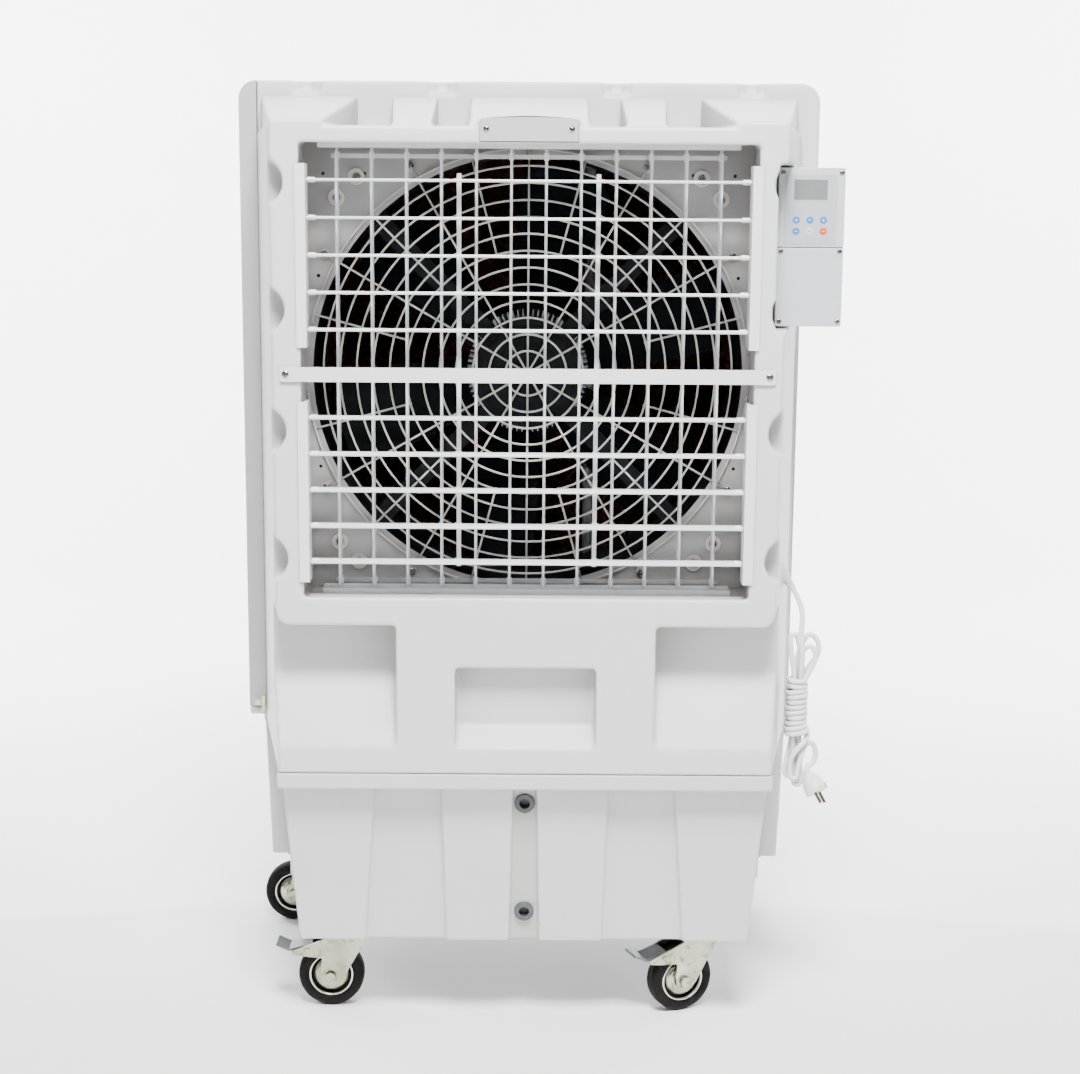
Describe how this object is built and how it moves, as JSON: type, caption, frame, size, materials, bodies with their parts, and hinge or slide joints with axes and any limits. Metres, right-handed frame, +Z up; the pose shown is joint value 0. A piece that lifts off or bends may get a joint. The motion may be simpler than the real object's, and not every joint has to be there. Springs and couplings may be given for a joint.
{
  "type": "evaporative cooler",
  "caption": "Wheeled evaporative air cooler: moulded housing on a water tank, caged fan behind louvres and vanes, wet-pad frames, control box and mains lead.",
  "frame": {"origin": "centre of the footprint on the floor, measured without the mains lead", "axes": "+Z up, -Y towards the air outlet, +X to the viewer's right when facing the outlet"},
  "size_m": [0.8901, 0.642, 1.388],
  "materials": {
    "white_plastic": "satin",
    "cabinet_plastic": "satin",
    "tank_plastic": "satin",
    "pad_frame_plastic": "matt",
    "clip_nylon": "satin",
    "blade_plastic": "gloss",
    "panel_plastic": "satin",
    "motor_paint": "satin",
    "rotor_plastic": "satin",
    "guard_wire": "satin",
    "white_metal": "satin",
    "screw_steel": "bright",
    "box_plastic": "satin",
    "panel_film": "satin",
    "gland_rubber": "satin",
    "cord_pvc": "satin",
    "zinc": "zinc plated",
    "tyre_rubber": "matt",
    "pedal_steel": "satin",
    "pipe_plastic": "matt",
    "fitting_plastic": "matt",
    "pad_cellulose": "matt"
  },
  "bodies": {
    "housing": {"front_shell": "white_plastic", "rear_cabinet": "cabinet_plastic", "water_tank": "tank_plastic", "fan_panel": "panel_plastic", "fan_motor": "motor_paint", "fan_guard": "guard_wire", "blade_rails": "blade_plastic", "cross_bar": "white_metal", "name_plate": "white_metal", "housing_screws": "screw_steel", "control_box": "box_plastic", "control_lids": "box_plastic", "control_panel": "panel_film", "cable_gland": "gland_rubber", "power_cord": "cord_pvc", "cord_hank": "cord_pvc", "power_plug": "cord_pvc", "castor_plates": "zinc", "water_distributor": "pipe_plastic", "tank_fittings": "fitting_plastic", "cooling_pads": "pad_cellulose"},
    "fan": {"fan_rotor": "rotor_plastic"},
    "louvre_01": {"louvre_01": "blade_plastic"},
    "louvre_02": {"louvre_02": "blade_plastic"},
    "louvre_03": {"louvre_03": "blade_plastic"},
    "louvre_04": {"louvre_04": "blade_plastic"},
    "louvre_05": {"louvre_05": "blade_plastic"},
    "louvre_06": {"louvre_06": "blade_plastic"},
    "louvre_07": {"louvre_07": "blade_plastic"},
    "louvre_08": {"louvre_08": "blade_plastic"},
    "louvre_09": {"louvre_09": "blade_plastic"},
    "louvre_10": {"louvre_10": "blade_plastic"},
    "louvre_link": {"louvre_link": "blade_plastic"},
    "vane_01": {"vane_01": "blade_plastic"},
    "vane_02": {"vane_02": "blade_plastic"},
    "vane_03": {"vane_03": "blade_plastic"},
    "vane_04": {"vane_04": "blade_plastic"},
    "vane_05": {"vane_05": "blade_plastic"},
    "vane_06": {"vane_06": "blade_plastic"},
    "vane_07": {"vane_07": "blade_plastic"},
    "vane_08": {"vane_08": "blade_plastic"},
    "vane_09": {"vane_09": "blade_plastic"},
    "vane_10": {"vane_10": "blade_plastic"},
    "vane_11": {"vane_11": "blade_plastic"},
    "vane_12": {"vane_12": "blade_plastic"},
    "vane_link": {"vane_link": "blade_plastic"},
    "castor_fork_front_left": {"castor_fork_front_left": "zinc"},
    "castor_wheel_front_left": {"castor_wheel_front_left": "tyre_rubber"},
    "brake_pedal_front_left": {"brake_pedal_front_left": "pedal_steel"},
    "castor_fork_front_right": {"castor_fork_front_right": "zinc"},
    "castor_wheel_front_right": {"castor_wheel_front_right": "tyre_rubber"},
    "brake_pedal_front_right": {"brake_pedal_front_right": "pedal_steel"},
    "castor_fork_rear_left": {"castor_fork_rear_left": "zinc"},
    "castor_wheel_rear_left": {"castor_wheel_rear_left": "tyre_rubber"},
    "castor_fork_rear_right": {"castor_fork_rear_right": "zinc"},
    "castor_wheel_rear_right": {"castor_wheel_rear_right": "tyre_rubber"},
    "left_pad_frame": {"left_pad_frame": "pad_frame_plastic", "pad_clip": "clip_nylon"},
    "right_pad_frame": {"right_pad_frame": "pad_frame_plastic"},
    "rear_pad_frame": {"rear_pad_frame": "pad_frame_plastic"}
  },
  "joints": [
    {"name": "fan_spin", "type": "hinge", "parent": "housing", "child": "fan", "pos_m": [0, -0.079, 0.97], "axis": [0, 1, 0], "continuous": true},
    {"name": "louvre_01_tilt", "type": "hinge", "parent": "housing", "child": "louvre_01", "pos_m": [0, -0.3, 1.2403], "axis": [1, 0, 0], "range_deg": [-35, 45]},
    {"name": "louvre_02_tilt", "type": "hinge", "parent": "housing", "child": "louvre_02", "pos_m": [0, -0.3, 1.18945], "axis": [1, 0, 0], "range_deg": [-35, 45]},
    {"name": "louvre_03_tilt", "type": "hinge", "parent": "housing", "child": "louvre_03", "pos_m": [0, -0.3, 1.1386], "axis": [1, 0, 0], "range_deg": [-35, 45]},
    {"name": "louvre_04_tilt", "type": "hinge", "parent": "housing", "child": "louvre_04", "pos_m": [0, -0.3, 1.08775], "axis": [1, 0, 0], "range_deg": [-35, 45]},
    {"name": "louvre_05_tilt", "type": "hinge", "parent": "housing", "child": "louvre_05", "pos_m": [0, -0.3, 1.0369], "axis": [1, 0, 0], "range_deg": [-35, 45]},
    {"name": "louvre_06_tilt", "type": "hinge", "parent": "housing", "child": "louvre_06", "pos_m": [0, -0.3, 0.9151], "axis": [1, 0, 0], "range_deg": [-35, 45]},
    {"name": "louvre_07_tilt", "type": "hinge", "parent": "housing", "child": "louvre_07", "pos_m": [0, -0.3, 0.86425], "axis": [1, 0, 0], "range_deg": [-35, 45]},
    {"name": "louvre_08_tilt", "type": "hinge", "parent": "housing", "child": "louvre_08", "pos_m": [0, -0.3, 0.8134], "axis": [1, 0, 0], "range_deg": [-35, 45]},
    {"name": "louvre_09_tilt", "type": "hinge", "parent": "housing", "child": "louvre_09", "pos_m": [0, -0.3, 0.76255], "axis": [1, 0, 0], "range_deg": [-35, 45]},
    {"name": "louvre_10_tilt", "type": "hinge", "parent": "housing", "child": "louvre_10", "pos_m": [0, -0.3, 0.7117], "axis": [1, 0, 0], "range_deg": [-35, 45]},
    {"name": "louvre_link_pivot", "type": "hinge", "parent": "louvre_01", "child": "louvre_link", "pos_m": [0, -0.28, 1.2403], "axis": [1, 0, 0], "range_deg": [-45, 35]},
    {"name": "vane_01_turn", "type": "hinge", "parent": "housing", "child": "vane_01", "pos_m": [-0.26675, -0.25, 0.974], "axis": [0, 0, 1], "range_deg": [-40, 40]},
    {"name": "vane_02_turn", "type": "hinge", "parent": "housing", "child": "vane_02", "pos_m": [-0.21825, -0.25, 0.974], "axis": [0, 0, 1], "range_deg": [-40, 40]},
    {"name": "vane_03_turn", "type": "hinge", "parent": "housing", "child": "vane_03", "pos_m": [-0.16975, -0.25, 0.974], "axis": [0, 0, 1], "range_deg": [-40, 40]},
    {"name": "vane_04_turn", "type": "hinge", "parent": "housing", "child": "vane_04", "pos_m": [-0.12125, -0.25, 0.974], "axis": [0, 0, 1], "range_deg": [-40, 40]},
    {"name": "vane_05_turn", "type": "hinge", "parent": "housing", "child": "vane_05", "pos_m": [-0.07275, -0.25, 0.974], "axis": [0, 0, 1], "range_deg": [-40, 40]},
    {"name": "vane_06_turn", "type": "hinge", "parent": "housing", "child": "vane_06", "pos_m": [-0.02425, -0.25, 0.974], "axis": [0, 0, 1], "range_deg": [-40, 40]},
    {"name": "vane_07_turn", "type": "hinge", "parent": "housing", "child": "vane_07", "pos_m": [0.02425, -0.25, 0.974], "axis": [0, 0, 1], "range_deg": [-40, 40]},
    {"name": "vane_08_turn", "type": "hinge", "parent": "housing", "child": "vane_08", "pos_m": [0.07275, -0.25, 0.974], "axis": [0, 0, 1], "range_deg": [-40, 40]},
    {"name": "vane_09_turn", "type": "hinge", "parent": "housing", "child": "vane_09", "pos_m": [0.12125, -0.25, 0.974], "axis": [0, 0, 1], "range_deg": [-40, 40]},
    {"name": "vane_10_turn", "type": "hinge", "parent": "housing", "child": "vane_10", "pos_m": [0.16975, -0.25, 0.974], "axis": [0, 0, 1], "range_deg": [-40, 40]},
    {"name": "vane_11_turn", "type": "hinge", "parent": "housing", "child": "vane_11", "pos_m": [0.21825, -0.25, 0.974], "axis": [0, 0, 1], "range_deg": [-40, 40]},
    {"name": "vane_12_turn", "type": "hinge", "parent": "housing", "child": "vane_12", "pos_m": [0.26675, -0.25, 0.974], "axis": [0, 0, 1], "range_deg": [-40, 40]},
    {"name": "vane_link_pivot", "type": "hinge", "parent": "vane_01", "child": "vane_link", "pos_m": [-0.26675, -0.23, 0.974], "axis": [0, 0, 1], "range_deg": [-40, 40]},
    {"name": "swivel_front_left", "type": "hinge", "parent": "housing", "child": "castor_fork_front_left", "pos_m": [-0.266, -0.186, 0.12], "axis": [0, 0, 1], "continuous": true},
    {"name": "wheel_front_left", "type": "hinge", "parent": "castor_fork_front_left", "child": "castor_wheel_front_left", "pos_m": [-0.293, -0.186, 0.05], "axis": [0, 1, 0], "continuous": true},
    {"name": "brake_front_left", "type": "hinge", "parent": "castor_fork_front_left", "child": "brake_pedal_front_left", "pos_m": [-0.328, -0.186, 0.092], "axis": [0, 1, 0], "range_deg": [-14, 0]},
    {"name": "swivel_front_right", "type": "hinge", "parent": "housing", "child": "castor_fork_front_right", "pos_m": [0.262, -0.186, 0.12], "axis": [0, 0, 1], "continuous": true},
    {"name": "wheel_front_right", "type": "hinge", "parent": "castor_fork_front_right", "child": "castor_wheel_front_right", "pos_m": [0.23697, -0.19611, 0.05], "axis": [-0.3746, 0.9272, 0], "continuous": true},
    {"name": "brake_front_right", "type": "hinge", "parent": "castor_fork_front_right", "child": "brake_pedal_front_right", "pos_m": [0.20452, -0.20923, 0.092], "axis": [-0.3746, 0.9272, 0], "range_deg": [-14, 0]},
    {"name": "swivel_rear_left", "type": "hinge", "parent": "housing", "child": "castor_fork_rear_left", "pos_m": [-0.364, 0.163, 0.12], "axis": [0, 0, 1], "continuous": true},
    {"name": "wheel_rear_left", "type": "hinge", "parent": "castor_fork_rear_left", "child": "castor_wheel_rear_left", "pos_m": [-0.391, 0.163, 0.05], "axis": [0, 1, 0], "continuous": true},
    {"name": "swivel_rear_right", "type": "hinge", "parent": "housing", "child": "castor_fork_rear_right", "pos_m": [0.364, 0.163, 0.12], "axis": [0, 0, 1], "continuous": true},
    {"name": "wheel_rear_right", "type": "hinge", "parent": "castor_fork_rear_right", "child": "castor_wheel_rear_right", "pos_m": [0.33759, 0.15739, 0.05], "axis": [-0.2079, 0.9781, 0], "continuous": true},
    {"name": "left_pad_frame_pull", "type": "slide", "parent": "housing", "child": "left_pad_frame", "axis": [-1, 0, 0], "range_m": [0, 0.06]},
    {"name": "right_pad_frame_pull", "type": "slide", "parent": "housing", "child": "right_pad_frame", "axis": [1, 0, 0], "range_m": [0, 0.06]},
    {"name": "rear_pad_frame_pull", "type": "slide", "parent": "housing", "child": "rear_pad_frame", "axis": [0, 1, 0], "range_m": [0, 0.06]}
  ],
  "couplings": [
    {"joint": "louvre_02_tilt", "follows": "louvre_01_tilt", "ratio": 1},
    {"joint": "louvre_03_tilt", "follows": "louvre_01_tilt", "ratio": 1},
    {"joint": "louvre_04_tilt", "follows": "louvre_01_tilt", "ratio": 1},
    {"joint": "louvre_05_tilt", "follows": "louvre_01_tilt", "ratio": 1},
    {"joint": "louvre_06_tilt", "follows": "louvre_01_tilt", "ratio": 1},
    {"joint": "louvre_07_tilt", "follows": "louvre_01_tilt", "ratio": 1},
    {"joint": "louvre_08_tilt", "follows": "louvre_01_tilt", "ratio": 1},
    {"joint": "louvre_09_tilt", "follows": "louvre_01_tilt", "ratio": 1},
    {"joint": "louvre_10_tilt", "follows": "louvre_01_tilt", "ratio": 1},
    {"joint": "louvre_link_pivot", "follows": "louvre_01_tilt", "ratio": -1},
    {"joint": "vane_02_turn", "follows": "vane_01_turn", "ratio": 1},
    {"joint": "vane_03_turn", "follows": "vane_01_turn", "ratio": 1},
    {"joint": "vane_04_turn", "follows": "vane_01_turn", "ratio": 1},
    {"joint": "vane_05_turn", "follows": "vane_01_turn", "ratio": 1},
    {"joint": "vane_06_turn", "follows": "vane_01_turn", "ratio": 1},
    {"joint": "vane_07_turn", "follows": "vane_01_turn", "ratio": 1},
    {"joint": "vane_08_turn", "follows": "vane_01_turn", "ratio": 1},
    {"joint": "vane_09_turn", "follows": "vane_01_turn", "ratio": 1},
    {"joint": "vane_10_turn", "follows": "vane_01_turn", "ratio": 1},
    {"joint": "vane_11_turn", "follows": "vane_01_turn", "ratio": 1},
    {"joint": "vane_12_turn", "follows": "vane_01_turn", "ratio": 1},
    {"joint": "vane_link_pivot", "follows": "vane_01_turn", "ratio": -1}
  ]
}
